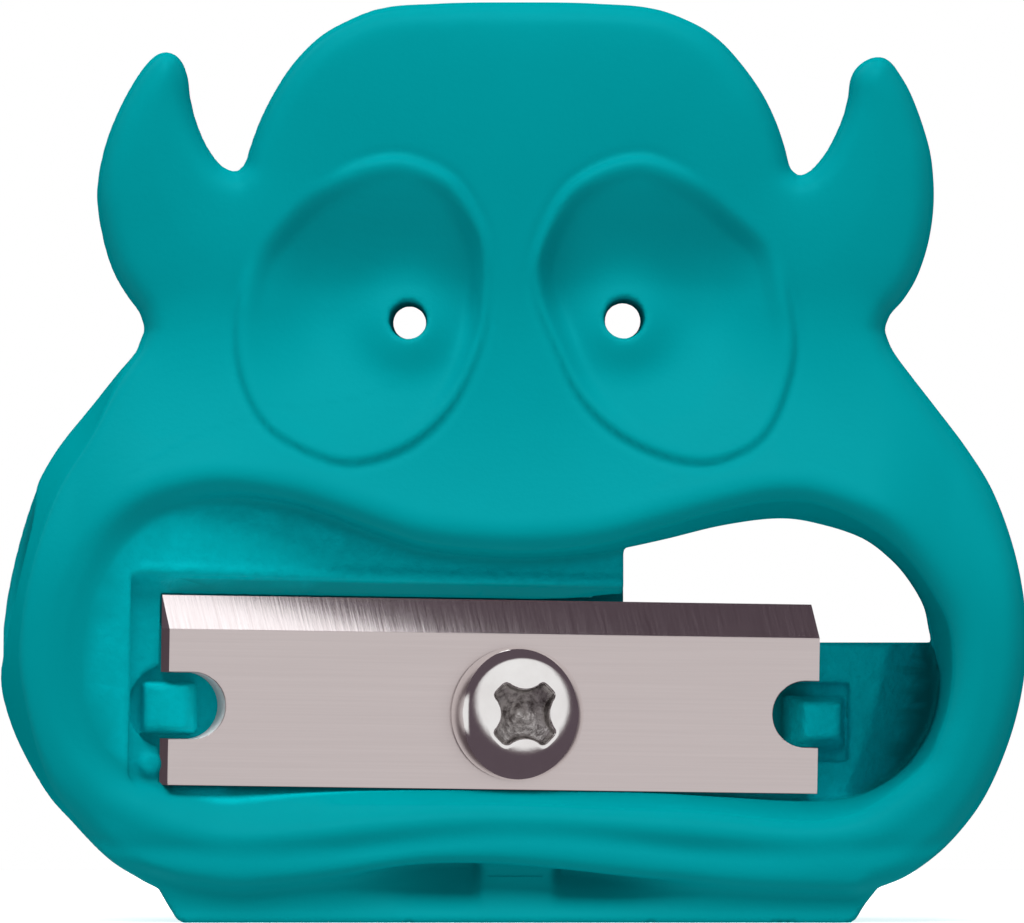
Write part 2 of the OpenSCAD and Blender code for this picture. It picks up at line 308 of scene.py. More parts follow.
def mesh_object(name, points, faces):
    """A mesh object from millimetre points; faces is an array of quads or triangles."""
    mesh = bpy.data.meshes.new(name)
    faces = np.asarray(faces)
    k = faces.shape[1]
    mesh.vertices.add(len(points))
    mesh.vertices.foreach_set("co", (np.asarray(points, float) * MM).astype(np.float32).ravel())
    mesh.loops.add(faces.size)
    mesh.loops.foreach_set("vertex_index", faces.astype(np.int32).ravel())
    mesh.polygons.add(len(faces))
    mesh.polygons.foreach_set("loop_start", np.arange(0, faces.size, k, dtype=np.int32))
    mesh.update(calc_edges=True)
    mesh.polygons.foreach_set("use_smooth", np.ones(len(faces), bool))
    mesh.validate()
    obj = bpy.data.objects.new(name, mesh)
    bpy.context.scene.collection.objects.link(obj)
    return obj


def points_of(obj, unit=MM):
    """The mesh's vertices in millimetres; unit is 1 for a mesh that is still in them."""
    co = np.zeros(len(obj.data.vertices) * 3, np.float32)
    obj.data.vertices.foreach_get("co", co)
    return co.reshape(-1, 3).astype(float) / unit


def move_points(obj, points):
    """Sets the mesh's vertices from millimetre points."""
    obj.data.vertices.foreach_set("co", (points * MM).astype(np.float32).ravel())
    obj.data.update()


def apply_modifiers(obj):
    dg = bpy.context.evaluated_depsgraph_get()
    mesh = bpy.data.meshes.new_from_object(obj.evaluated_get(dg))
    obj.modifiers.clear()
    obj.data = mesh


def thin_out(obj, most):
    """Collapses edges where the surface is nearly flat, down to about that many triangles."""
    count = 2 * len(obj.data.polygons)
    if count > most:
        mod = obj.modifiers.new("thin", "DECIMATE")
        mod.ratio = most / count
        apply_modifiers(obj)


def field_normals(obj, field):
    """Vertex normals from the field itself, so that shading follows the true surface."""
    g = field.direction(points_of(obj))
    obj.data.polygons.foreach_set("use_smooth", np.ones(len(obj.data.polygons), bool))
    obj.data.normals_split_custom_set_from_vertices(g.astype(np.float32))


# ---------------------------------------------------------------------------------------
# The moulded body
# ---------------------------------------------------------------------------------------
def blade_space(x, y, z):
    """u along the blade, v up its width, n out of its seat."""
    dx, dy, dz = x - SEAT[0], y - SEAT[1], z - SEAT[2]
    u = dx * AXIS_U[0] + dy * AXIS_U[1]
    n = dx * AXIS_N[0] + dy * AXIS_N[1]
    c, s = math.cos(ROLL), math.sin(ROLL)
    return u * c - dz * s, u * s + dz * c, n


def box_distance(d):
    """Intersection of half-spaces: the largest of the distances."""
    out = d[0]
    for e in d[1:]:
        out = np.maximum(out, e)
    return out


def front_relief(x, z, d_out):
    """y of the face's front surface over the x, z plane, before its edges are rounded."""
    lip_top = np.interp(x, *spline([[-15.8, 14.2], [-13, 15.0], [-10.2, 15.5], [-6, 14.5],
                                    [-3, 13.55], [0.3, 13.3], [3.2, 13.55], [7.6, 14.8],
                                    [10, 15.2], [13, 14.6], [15.8, 13.6]]).T)
    outer = fade(np.abs(x), 13.0, 17.5)
    crest = lip_top + 0.45 - 1.3 * outer
    k = 0.35 + 1.6 * outer
    w = z - crest
    above = 0.5 * (w + np.sqrt(w * w + k * k))
    t = np.clip(1 - above / (22.9 - crest), 0, 1)
    y = FACE_Y + (LIP_Y - FACE_Y) * t ** 2.0
    # the crowned surface falls away towards the outline, except along the foot
    y = y + 0.42 * np.exp(np.minimum(d_out, 0) / 1.1) * fade(z, 1.5, 4)
    # shallow groove along the lower lip, and the ridge under it
    middle = 1 - fade(np.abs(x), 8, 14.5)
    bend = 0.35 * np.cos(np.clip(x, -12, 12) * 0.33)
    y = y + 0.25 * np.exp(-((z - 2.85 - bend) / 0.45) ** 2) * (0.35 + 0.65 * middle)
    return y


def eye_relief(x, z, d_eye, side):
    """How far the eye's surface stands behind (positive) or in front of the face."""
    cx = -4.6 if side < 0 else 4.9
    down = ramp([[15, 0.0], [17, 0.02], [18.5, 0.3], [20, 0.72], [21.4, 1.08], [22.6, 1.28],
                 [23.4, 1.22], [24.6, 0.86], [25.8, 0.42], [26.8, 0.1], [28, -0.02]], z)
    across = fade(5.6 - side * (x - cx), 0.0, 3.6) * fade(-d_eye, -0.05, 1.0)
    outer_top = fade(z, 22.0, 24.5) * fade(side * x, 4.5, 7.5)
    step = -0.26 * fade(-d_eye, -0.16, 0.28) * (1 - 0.9 * outer_top)
    rim = -0.07 * np.exp(-((d_eye + 0.45) / 0.34) ** 2) * fade(z, 23, 26) * (1 - 0.8 * outer_top)
    groove = 0.10 * np.exp(-(d_eye / 0.16) ** 2) * (1 - outer_top)
    px, pz, _ = PUPILS[0 if side < 0 else 1]
    r = np.hypot((x - px - 0.1 * side) * 0.95, z - pz + 0.1)
    mound = -0.78 * np.exp(-(r / 1.55) ** 2.6) * fade(-d_eye, 0.0, 0.8)
    return down * across + step + rim + groove + mound


def body_field(step):
    f = Field((-19.2, -6.6, -0.6), (19.2, 6.6, 33.9), step)
    x, z = f.flat_x, f.flat_z
    d_out = flat_distance(outline, x, z)
    d_mouth = flat_distance(mouth, x, z)
    d_deep = flat_distance(mouth_deep, x, z)
    front = front_relief(x, z, d_out)
    for pts, side in ((eye_left, -1), (eye_right, 1)):
        front = front + eye_relief(x, z, flat_distance(pts, x, z), side)
    back = ramp([[0, 5.4], [0.6, 5.9], [1.6, 6.0], [14.5, 6.0], [16, 5.85], [17.5, 5.0],
                 [19.2, 3.6], [21, 2.5], [23, 2.05], [26, 2.0], [34, 2.0]], z)

    def lift(a):
        return a[:, None, :].astype(np.float32)

    def slope(h):
        gx, gz = np.gradient(h, step)
        return np.sqrt(1 + gx * gx + gz * gz)

    y = f.y
    side = lift(d_out - 0.04 * fade(z, 0.3, 1.5) * (1 - fade(z, 32.0, 33.0)))
    face = lift(front) - y
    face = face / lift(slope(front))
    rear = (y - lift(back)) / lift(slope(back))

    # the lower lip's underside
    lip_low = ramp([[-13.5, 1.95], [-12, 1.6], [-10.1, 1.3], [-8.6, 1.4], [-6.4, 1.66], [-3.6, 2.1],
                    [-1, 2.15], [1.7, 1.95], [4.2, 1.68], [6, 1.52], [8.8, 1.27], [13, 1.15],
                    [14, 1.2]], f.axes[0])[:, None, None]
    upper = smax(side, face, 0.85)
    # the left cheek's front edge is a crease with a steep band outside it
    crease = 0.85 * fade(-x, 12.0, 16.0) * fade(z, 3.0, 8.5) * (1 - fade(z, 17.0, 21.5))
    deep = 1.9
    c = lift(crease)
    band = ((side + c) * deep + face * c) / np.sqrt(deep * deep + c * c + 1e-6)
    upper = np.where(c > 0.02, smax(upper, band, 0.16), upper)
    upper = smax(upper, (lip_low - f.z + 0.22 * (y + 5.4)).astype(np.float32), 0.55)
    # the foot stands back under it, with a pocket on each side of the middle rib
    from_rib = np.abs(x - 0.15)
    pocket = fade(from_rib, 1.2, 1.6) * (1 - fade(from_rib, 1.8, 6.5)) * fade(z, 0.3, 2.2)
    outer = fade(from_rib, 2.5, 8.0) * fade(z, 0.2, 1.6)
    foot_y = (FOOT_Y - FOOT_FLARE * (1 - fade(z, -0.5, 1.6)) - 0.55 * outer + 0.8 * pocket
              + 2.5 * fade(z, 2.3, 5.0))
    base = smax(lift(foot_y) - y, (f.z - 7.0).astype(np.float32), 0.1)
    m = np.maximum(smin(upper, base, 0.45), side)
    m = smax(m, rear, 0.9)

    # the mouth: a drafted wall with a rolled lip, open down to the stepped floor
    u, v, n = blade_space(f.x, f.y, f.z)
    depth = fade(y, LIP_Y + 0.2 + 0.13 * np.maximum(f.x, 0), LIP_Y + 1.6 + 0.14 * (f.x + 15))
    wall = lift(d_mouth) * (1 - depth) + lift(d_deep) * depth
    slot_v = 4.66 - 0.013 * u
    low = v - slot_v
    at_edge = v - EDGE_V - EDGE_GAP
    left_of_blade = BLADE_LEFT - 0.12 - u
    # from the plateau a chamfer leads down to the blade's edge
    chamfer = box_distance([low, (PLATEAU_N - 0.05 + 1.5 * low - n) / 1.8, -14.15 - u])
    over_strip = np.minimum(left_of_blade, STRIP_N - n)
    floors = [PLATEAU_N - n,
              box_distance([chamfer, EDGE_V - 0.4 - v, over_strip]),
              box_distance([chamfer, STRIP_N - n, u - BLADE_LEFT - 0.2]),
              box_distance([at_edge, -n, left_of_blade]),
              box_distance([at_edge, EDGE_V - SLOT_W - v, SLOT_N - n, BLADE_LEFT - u, u - 5])]
    # the recess that falls away at the seat's right end
    bend = ramp([[3, 11.2], [4.5, 12.0], [6.5, 12.7], [8.5, 13.3], [10.5, 13.6]], f.axes[2])
    fall = f.x - bend[None, None, :] - 0.02
    floors.append(box_distance([(-n - RECESS_FALL * fall) / 1.3, -fall - 0.1,
                                f.z - SEAT_TOP + 0.12, RECESS_N - n]))
    # pockets under the locating posts
    floors.append(smax(np.hypot(u - LEFT_POST_U, v - NOTCH_V + 0.05) - 1.5, -0.05 - n, 0.3))
    floors.append(box_distance([np.abs(u - 11.1) - 1.6, np.abs(v + 0.16) - 1.42, -0.6 - n]))
    floors = np.minimum.reduce(np.broadcast_arrays(*floors))
    # a light ledge along the plateau's lower edge
    ledge = box_distance([np.abs(v - slot_v - 0.2) - 0.17, n - 1.3, 0.9 - n, u - 4.0, -13.8 - u])
    lips = smax(m, -wall, 1.25)
    blend = 0.002 + 0.25 * fade(2.0 - y, 0, 1) * fade(0.9 - wall, 0, 0.6)
    s = smin(lips, smin(smax(m, -floors, 0.1), ledge, 0.05), blend)
    del lips, floors

    # window through to the back, right of the cone's housing
    window = smax(smax(TUBE_END - f.x + 0 * y, SEAT_TOP - f.z + 0 * y, 0.05), wall, 0.05)
    s = smax(s, -window, 0.06)

    # posts that stand in the blade's notches, wider at their roots, and an ejector mark
    root = POST_N - n
    left_top = (n - 1.25 + 1.1 * np.maximum(u + 12.05, 0) + 0.55 * np.maximum(-12.9 - u, 0)) / 1.3
    left_sides = np.abs(v - NOTCH_V + 0.08) - 0.80 - 0.12 * root
    post_l = smax(box_distance([left_sides, -0.9 - n, left_top]),
                  np.abs(u - LEFT_POST_U) - 1.0, 0.14)
    right_sides = np.abs(v + 0.16 * (1 - 0.3 * n)) - 0.62 - 0.22 * root
    post_r = smax(box_distance([right_sides, -0.9 - n]),
                  smax(np.abs(u - RIGHT_POST_U) - 0.64 - 0.3 * root, n - POST_N, 0.08), 0.1)
    bump = smax(np.hypot(u + 13.25, v + 2.0) - 0.42, np.maximum(n - 0.72, 0.2 - n), 0.12)
    s = smin(s, smin(post_l, smin(post_r, bump, 0.01), 0.01), 0.12)

    # pencil bore, cone and point relief
    rad = np.hypot(f.y, f.z - BORE_Z)
    cone_r = np.clip((APEX_X - f.x) * math.tan(SLANT), RELIEF_R, BORE_R)
    bore = np.maximum(rad - cone_r, f.x - 4.6)
    s = smax(s, -bore, np.where(f.x < -15.6, 0.4, 0.06))
    screw_hole = box_distance([np.hypot(u, v) - 1.35, -5.2 - n, n - 1])
    s = smax(s, -screw_hole, 0.05)
    # pupils, drilled from a slightly wider and higher entry
    for px, pz, pr in PUPILS:
        grow = 1 - np.clip((f.y + 2.4) / 2.2, 0, 1)
        r = np.hypot(f.x - px - 0.05 * np.sign(px) * grow, f.z - pz - 0.09 * grow)
        s = smax(s, -(r - pr - 0.09 * grow), 0.12)
    f.s = np.ascontiguousarray(s, np.float32)
    return f


def build_body():
    f = body_field(0.15)
    p, q = f.surface()
    lo, hi = np.array(body_lo) / MM, np.array(body_hi) / MM
    p = np.clip(p, lo - 0.02, hi + 0.02)
    obj = mesh_object("moulded_body", p, q)
    thin_out(obj, 190_000)
    field_normals(obj, f)
    # where the mould is rough, and where the plastic is painted paler as painted light: inside the
    # mouth
    co = points_of(obj)
    x, y, z = co.T
    d = flat_distance(mouth, x.astype(np.float32), z.astype(np.float32))
    _, v, n = blade_space(x, y, z)
    inner = (fade(-d, 0.3, 0.7) * fade(1.75 - n, 0, 0.3) * fade(3.5 - y, 0, 0.5)
             * np.maximum(fade(n, -0.4, -0.1), fade(x, 10, 11)))
    # the painted light is palest at the right end of the seat, and left off the step above the
    # blade's edge
    step_band = fade(v, 4.05, 4.15) * (1 - fade(v, 4.6, 4.75)) * fade(x, -12.6, -12.2)
    inner *= (0.45 + 0.17 * fade(x, -12.6, -12.2) + 0.38 * fade(x, 5, 10)) * (1 - step_band)
    attr = obj.data.attributes.new("inner", "FLOAT", "POINT")
    attr.data.foreach_set("value", inner.astype(np.float32))
    return obj


# ---------------------------------------------------------------------------------------
# The blade, in its own space and then set on its seat
# ---------------------------------------------------------------------------------------
def seat_matrix():
    """From u, v, n to the frame's millimetres, before the blade's lean."""
    m = Matrix(((AXIS_U[0], 0, AXIS_N[0]), (AXIS_U[1], 0, AXIS_N[1]), (0, 1, 0))).to_4x4()
    m.translation = Vector(SEAT)
    return m


def blade_matrix():
    return seat_matrix() @ Matrix.Rotation(-ROLL, 4, "Z")


def place(points, m):
    a = np.array(m)
    return points @ a[:3, :3].T + a[:3, 3]


def build_blade():
    """A stamped steel blade: flat faces, ground edge, notches with rolled rims and a hole."""
    u0, u1 = BLADE_LEFT, BLADE_LEFT + BLADE_LEN
    top, gap = BLADE_T + SEAT_GAP, SEAT_GAP
    flat_v = EDGE_V - BEVEL_W
    r = NOTCH_W / 2

    def notch(u_end, depth, sign):
        c = u_end + sign * (depth - r)
        arc = [(c + sign * r * math.cos(a), NOTCH_V + r * math.sin(a))
               for a in np.linspace(math.pi / 2, -math.pi / 2, 25)]
        return [(u_end, NOTCH_V + r)] + arc + [(u_end, NOTCH_V - r)]

    # anticlockwise from the left end of the ground edge
    left = notch(u0, NOTCH_L, 1)
    right = notch(u1, NOTCH_R, -1)
    ring = [(u0, flat_v)] + left + [(u0, BACK_V), (u1, BACK_V)] + right[::-1] + [(u1, flat_v)]
    bm = bmesh.new()
    hi = [bm.verts.new((a, b, top)) for a, b in ring]
    lo = [bm.verts.new((a, b, gap)) for a, b in ring]
    edge = [bm.verts.new((a, EDGE_V, gap + 0.015)) for a in (u1, u0)]
    edge_lo = [bm.verts.new((a, EDGE_V, gap)) for a in (u1, u0)]
    hole = [(HOLE_R * math.cos(a), HOLE_R * math.sin(a))
            for a in np.linspace(0, 2 * math.pi, 49)[:-1]]
    hole_hi = [bm.verts.new((a, b, top)) for a, b in hole]
    hole_lo = [bm.verts.new((a, b, gap)) for a, b in hole]
    k, h = len(ring), len(hole)
    for i in range(k - 1):
        bm.faces.new((hi[i], hi[i + 1], lo[i + 1], lo[i]))
    for i in range(h):
        j = (i + 1) % h
        bm.faces.new((hole_hi[j], hole_hi[i], hole_lo[i], hole_lo[j]))
    # ground bevel, its ends and the thin land at the cutting edge
    bm.faces.new((hi[-1], edge[0], edge[1], hi[0]))
    bm.faces.new((edge[0], edge_lo[0], edge_lo[1], edge[1]))
    bm.faces.new((hi[0], edge[1], edge_lo[1], lo[0]))
    bm.faces.new((hi[-1], lo[-1], edge_lo[0], edge[0]))
    bm.verts.ensure_lookup_table()
    for outer, inner in ((hi, hole_hi), (lo + edge_lo, hole_lo)):
        loops = []
        for loop in (outer, inner):
            for i in range(len(loop)):
                a, b = loop[i], loop[(i + 1) % len(loop)]
                e = bm.edges.get((a, b)) or bm.edges.new((a, b))
                loops.append(e)
        bmesh.ops.triangle_fill(bm, edges=loops, use_beauty=True)
    bmesh.ops.recalc_face_normals(bm, faces=bm.faces)
    mesh = bpy.data.meshes.new("steel_blade")
    bm.to_mesh(mesh)
    bm.free()
    obj = bpy.data.objects.new("steel_blade", mesh)
    bpy.context.scene.collection.objects.link(obj)
    # roll the stamped rims; the ground edge stays sharp
    sharp = mesh.attributes.new("bevel_weight_edge", "FLOAT", "EDGE")
    weights = np.zeros(len(mesh.edges), np.float32)
    for e in mesh.edges:
        a, b = (mesh.vertices[i].co for i in e.vertices)
        mid = (a + b) / 2
        if mid.z < top - 0.01 or abs(a.z - b.z) > 0.01:
            continue
        on_hole = abs(math.hypot(mid.x, mid.y) - HOLE_R) < 0.02
        on_end = mid.x < u0 + NOTCH_L + 0.02 or mid.x > u1 - NOTCH_R - 0.02
        rim = all(any(abs(q.x - c[0]) + abs(q.y - c[1]) < 1e-4 for c in ring) for q in (a, b))
        if on_hole:
            weights[e.index] = 0.6
        elif rim and max(a.y, b.y) < NOTCH_V + r + 0.01 and on_end:
            weights[e.index] = 1.0 if abs(mid.y - NOTCH_V) < r + 0.01 else 0.5
        elif rim and abs(mid.y - BACK_V) < 0.01:
            weights[e.index] = 0.35
    sharp.data.foreach_set("value", weights)
    mod = obj.modifiers.new("roll", "BEVEL")
    mod.limit_method = "WEIGHT"
    mod.width = 0.16
    mod.segments = 4
    mod.profile = 0.5
    for face in mesh.polygons:
        face.use_smooth = True
    mesh.set_sharp_from_angle(angle=math.radians(35))
    apply_modifiers(obj)
    for face in obj.data.polygons:
        if abs(face.normal.z) > 0.9995 or face.normal.y > 0.7:
            face.use_smooth = False
    co = points_of(obj, 1.0)
    uvn = obj.data.attributes.new("blade_uvn", "FLOAT_VECTOR", "POINT")
    uvn.data.foreach_set("vector", (co * MM).astype(np.float32).ravel())
    move_points(obj, place(co, blade_matrix()))
    return obj


# ---------------------------------------------------------------------------------------
# The screw
# ---------------------------------------------------------------------------------------
HEAD_SEAT = BLADE_T + 0.04        # the head's underside, as n
HEAD_R, HEAD_H, DOME_R = 2.42, 1.8, 3.55
THREAD_PITCH = 0.9
SHANK_END = -4.58


def head_dome(rad, z):
    """Signed distance to the ball that the head's top is part of."""
    return np.hypot(rad, z - (HEAD_SEAT + HEAD_H - DOME_R)) - DOME_R


def screw_field(step):
    f = Field((-2.7, -2.7, -4.9), (2.7, 2.7, 3.7), step)
    x, y, z = f.x, f.y, f.z
    rad = np.hypot(x, y)
    # pan head: short rolled side, low dome
    head = smax(smax(rad - HEAD_R + 0 * z, head_dome(rad, z), 0.42), HEAD_SEAT - z + 0 * rad, 0.12)
    # cross recess at 45 degrees: tapered wings with curved flutes between them
    c = math.sqrt(0.5)
    a, b = (x + y) * c, (y - x) * c
    depth = HEAD_SEAT + HEAD_H - z
    wing = 1.42 - 0.32 * depth
    arms = []
    for p, q in ((a, b), (b, a)):
        arms.append(smax(np.abs(q) - 0.35 + 0.05 * depth, np.abs(p) - wing, 0.16))
    cross = smin(arms[0], arms[1], 0.95)
    tip = (HEAD_SEAT + 0.35 - z) * 0.85 + 0.6 * rad
    cross = smax(cross, tip, 0.1)
    head = smax(head, -cross, 0.09)
    # shank with a helical thread that runs out towards the point
    angle = np.arctan2(y, x) / (2 * math.pi)
    wave = np.abs(((z / THREAD_PITCH - angle) % 1.0) - 0.5) * 2
    run = fade(z, -4.5, -3.7)
    thread_r = 1.02 + 0.28 * np.clip(1.25 * (1 - wave) - 0.12, 0, 1) * run * fade(-z, -0.2, 0.3)
    shank_r = np.where(z > 0.0, 1.18, thread_r)
    point = (rad - 0.35 - (z - SHANK_END) * 1.1) * 0.67
    shank = box_distance([(rad - shank_r) * 0.75, point, z - HEAD_SEAT - 0.1, SHANK_END - z])
    f.s = np.ascontiguousarray(np.minimum(head, shank), np.float32)
    return f


def build_screw():
    f = screw_field(0.055)
    p, q = f.surface()
    obj = mesh_object("pan_head_screw", p, q)
    thin_out(obj, 90_000)
    field_normals(obj, f)
    # how far inside the recess a point lies
    co = points_of(obj)
    rad = np.hypot(co[:, 0], co[:, 1])
    sunk = fade(-head_dome(rad, co[:, 2]), 0.02, 0.45) * fade(2.0 - rad, 0, 0.3)
    obj.data.attributes.new("sunk", "FLOAT", "POINT").data.foreach_set(
        "value", sunk.astype(np.float32))
    # into its place, with its normals
    m = seat_matrix()
    normals = f.direction(co) @ np.array(m)[:3, :3].T
    move_points(obj, place(co, m))
    obj.data.normals_split_custom_set_from_vertices(normals.astype(np.float32))
    return obj


# ---------------------------------------------------------------------------------------
# Materials
# ---------------------------------------------------------------------------------------
class Nodes:
    """A node material, with short ways to add what the materials here are made of.

    A value is either a number, a colour or another node's output.
    """

    def __init__(self, name):
        self.mat = bpy.data.materials.new(name)
        self.mat.use_nodes = True
        self.tree = self.mat.node_tree
        self.bsdf = self.tree.nodes["Principled BSDF"]

    def add(self, kind, **values):
        node = self.tree.nodes.new(kind)
        for key, value in values.items():
            if key in node.inputs:
                node.inputs[key].default_value = value
            else:
                setattr(node, key, value)
        return node

    def put(self, value, socket):
        if isinstance(value, bpy.types.NodeSocket):
            self.tree.links.new(value, socket)
        else:
            socket.default_value = value

    def shade(self, **values):
        """Sets the surface's own sockets; an underscore stands for a space."""
        for key, value in values.items():
            self.put(value, self.bsdf.inputs[key.replace("_", " ")])

    def attribute(self, name):
        return self.add("ShaderNodeAttribute", attribute_name=name)

    def position(self):
        return self.add("ShaderNodeTexCoord").outputs["Object"]

    def noise(self, vector, scale, detail=3.0, rough=0.55):
        node = self.add("ShaderNodeTexNoise", Scale=scale, Detail=detail, Roughness=rough)
        self.put(vector, node.inputs["Vector"])
        return node.outputs["Fac"]

    def ramp(self, source, stops):
        node = self.add("ShaderNodeValToRGB")
        self.put(source, node.inputs["Fac"])
        e = node.color_ramp.elements
        for i, (pos, colour) in enumerate(stops):
            slot = e[i] if i < len(e) else e.new(pos)
            slot.position = pos
            slot.color = (*colour, 1)
        return node.outputs[0]

    def math(self, op, *values):
        node = self.add("ShaderNodeMath", operation=op)
        for value, socket in zip(values, node.inputs):
            self.put(value, socket)
        return node.outputs[0]

    def mix(self, factor, a, b, colours=True):
        node = self.add("ShaderNodeMix", data_type="RGBA" if colours else "FLOAT")
        first = 6 if colours else 2
        self.put(factor, node.inputs[0])
        self.put(a, node.inputs[first])
        self.put(b, node.inputs[first + 1])
        return node.outputs[2 if colours else 0]

    def bump(self, height, distance, strength=1.0, after=None):
        node = self.add("ShaderNodeBump", Distance=distance)
        self.put(strength, node.inputs["Strength"])
        self.put(height, node.inputs["Height"])
        if after is not None:
            self.put(after, node.inputs["Normal"])
        return node.outputs[0]


def grey(value):
    return (value, value, value)


def plastic_material():
    m = Nodes("teal_moulded_plastic")
    at = m.position()
    # inner is 1 inside the mouth: it drives both the rough mould bump and the painted light there
    inner = m.attribute("inner").outputs["Fac"]
    flow = m.noise(at, 160, 3, 0.5)
    grain = m.noise(at, 5200, 2, 0.6)
    worm = m.noise(at, 2400, 3, 0.6)
    # inside the mouth the mould is rough, and the plastic is painted paler there as painted light
    # reaching into the mouth
    face = m.ramp(flow, [(0.25, (0.0, 0.343, 0.382)), (0.75, (0.0, 0.367, 0.408))])
    rough_and_painted_light_tone = m.ramp(worm, [(0.3, (0.0, 0.64, 0.73)), (0.7, (0.0, 0.74, 0.83))])
    skin = m.bump(grain, 0.000012, 0.5)
    coarse = m.bump(worm, 0.00012, m.math("MULTIPLY", inner, 0.9), skin)
    # a satin surface: its shine doesn't grow towards grazing angles
    graze = m.add("ShaderNodeLayerWeight", Blend=0.5).outputs["Facing"]
    shine = m.ramp(graze, [(0.0, grey(0.12)), (0.3, grey(0.07)), (0.55, grey(0.0))])
    m.shade(Base_Color=m.mix(inner, face, rough_and_painted_light_tone), Normal=coarse,
            Roughness=m.math("MULTIPLY_ADD", grain, 0.10, 0.34),
            Specular_IOR_Level=shine, Specular_Tint=(0.12, 0.8, 0.9, 1), IOR=1.5)
    return m.mat


def blade_material():
    m = Nodes("brushed_blade_steel")
    uvn = m.attribute("blade_uvn").outputs["Vector"]      # in metres

    def stretched(along_u, along_v):
        node = m.add("ShaderNodeVectorMath", operation="MULTIPLY")
        m.put(uvn, node.inputs[0])
        m.put((along_u, along_v, along_v), node.inputs[1])
        return node.outputs[0]

    # long grain on the flat, short cross grain on the bevel
    along = m.noise(stretched(110, 11000), 1.0, 4, 0.65)
    scratch = m.noise(stretched(350, 26000), 1.0, 2, 0.5)
    across = m.noise(stretched(9000, 260), 1.0, 4, 0.65)
    split = m.add("ShaderNodeSeparateXYZ")
    m.put(uvn, split.inputs[0])
    u, v, n = split.outputs
    on_bevel = m.math("GREATER_THAN", v, (EDGE_V - BEVEL_W) * MM + 2e-5)
    flat_tone = m.ramp(along, [(0.2, (0.605, 0.53, 0.525)), (0.8, (0.675, 0.595, 0.59))])
    ground_tone = m.ramp(across, [(0.2, (0.62, 0.56, 0.56)), (0.8, (0.86, 0.82, 0.82))])
    tone = m.mix(on_bevel, flat_tone, ground_tone)
    grain = m.mix(on_bevel, m.math("MULTIPLY_ADD", scratch, 0.35, along), across, False)
    rough = m.mix(on_bevel, m.math("MULTIPLY_ADD", along, 0.14, 0.24),
                  m.math("MULTIPLY_ADD", across, 0.05, 0.045), False)
    # the left notch's wall is rougher, and is painted near-white with little metal: a painted
    # highlight for the bright rim it shows
    in_notch = m.math("MULTIPLY", m.math("GREATER_THAN", u, (BLADE_LEFT + 0.3) * MM),
                      m.math("LESS_THAN", u, (BLADE_LEFT + NOTCH_L + 0.2) * MM))
    in_wall = m.math("MULTIPLY", m.math("LESS_THAN", n, (BLADE_T - 0.05) * MM),
                     m.math("LESS_THAN", v, (NOTCH_V + NOTCH_W) * MM))
    painted_notch_highlight = m.math("MULTIPLY", in_notch, in_wall)
    m.shade(Base_Color=m.mix(painted_notch_highlight, tone, (0.95, 0.94, 0.94, 1)),
            Roughness=m.mix(painted_notch_highlight, rough, 0.55, False),
            Metallic=m.mix(painted_notch_highlight, 1.0, 0.25, False),
            Normal=m.bump(grain, 0.000003, 0.5))
    return m.mat


def screw_material():
    m = Nodes("nickel_plated_screw")
    at = m.position()
    sunk = m.attribute("sunk").outputs["Fac"]
    soft = m.noise(at, 900, 4, 0.6)
    fine = m.noise(at, 2600, 4, 0.7)
    # bright plating; in the recess it is painted dark in patches, a painted shade for the recess
    plating = m.ramp(soft, [(0.3, (0.86, 0.83, 0.82)), (0.7, (0.93, 0.91, 0.90))])
    painted_recess_shade = m.ramp(fine, [(0.36, (0.13, 0.11, 0.11)), (0.60, (0.62, 0.59, 0.58))])
    wave = m.bump(soft, 0.00002, 0.3)
    m.shade(Base_Color=m.mix(sunk, plating, painted_recess_shade), Metallic=1.0,
            Roughness=m.math("MULTIPLY_ADD", sunk, 0.22, 0.09),
            Normal=m.bump(fine, 0.00006, sunk, wave))
    return m.mat


def floor_material():
    m = Nodes("pale_floor")
    tone = m.noise(m.position(), 30, 2, 0.5)
    m.shade(Base_Color=m.ramp(tone, [(0.3, grey(0.93)), (0.7, grey(0.95))]),
            Roughness=0.9, Specular_IOR_Level=0.0,
            Emission_Color=(1, 1, 1, 1), Emission_Strength=0.75)
    return m.mat


# ---------------------------------------------------------------------------------------
# Build
# ---------------------------------------------------------------------------------------
body = build_body()
body.data.materials.append(plastic_material())
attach(body, "body")
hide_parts("body")

blade = build_blade()
blade.data.materials.append(blade_material())
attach(blade, "blade")
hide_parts("blade")

screw = build_screw()
screw.data.materials.append(screw_material())
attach(screw, "blade_screw")
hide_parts("blade_screw")

# ---------------------------------------------------------------------------------------
# Floor, light and camera
# ---------------------------------------------------------------------------------------
FLOOR_R = 0.12
ring = [(FLOOR_R * math.cos(a), FLOOR_R * math.sin(a), cad_box[0].z)
        for a in np.linspace(0, 2 * math.pi, 97)[:-1]]
floor_mesh = bpy.data.meshes.new("floor")
floor_mesh.from_pydata(ring, [], [list(range(len(ring)))])
floor = bpy.data.objects.new("floor", floor_mesh)
bpy.context.scene.collection.objects.link(floor)
floor_mesh.materials.append(floor_material())
floor.visible_diffuse = False
floor.visible_glossy = False


def softbox(name, at, aim, size, power):
    data = bpy.data.lights.new(name, "AREA")
    data.shape = "RECTANGLE"
    data.size, data.size_y = size
    data.energy = power
    obj = bpy.data.objects.new(name, data)
    obj.location = at
    obj.rotation_mode = "QUATERNION"
    obj.rotation_quaternion = (Vector(aim) - Vector(at)).to_track_quat("-Z", "Y")
    obj.visible_camera = False
    bpy.context.scene.collection.objects.link(obj)
    return obj


MOUTH_AT = (0, 0, 0.012)
overhead = softbox("overhead", (-0.03, -0.115, 0.25), (-0.03, -0.01, 0.012), (0.30, 0.16), 0.67)
front_box = softbox("front", (0.0, -0.50, 0.22), MOUTH_AT, (0.30, 0.30), 0.19)
softbox("rear", (-0.20, 0.45, 0.30), MOUTH_AT, (0.30, 0.30), 0.55)
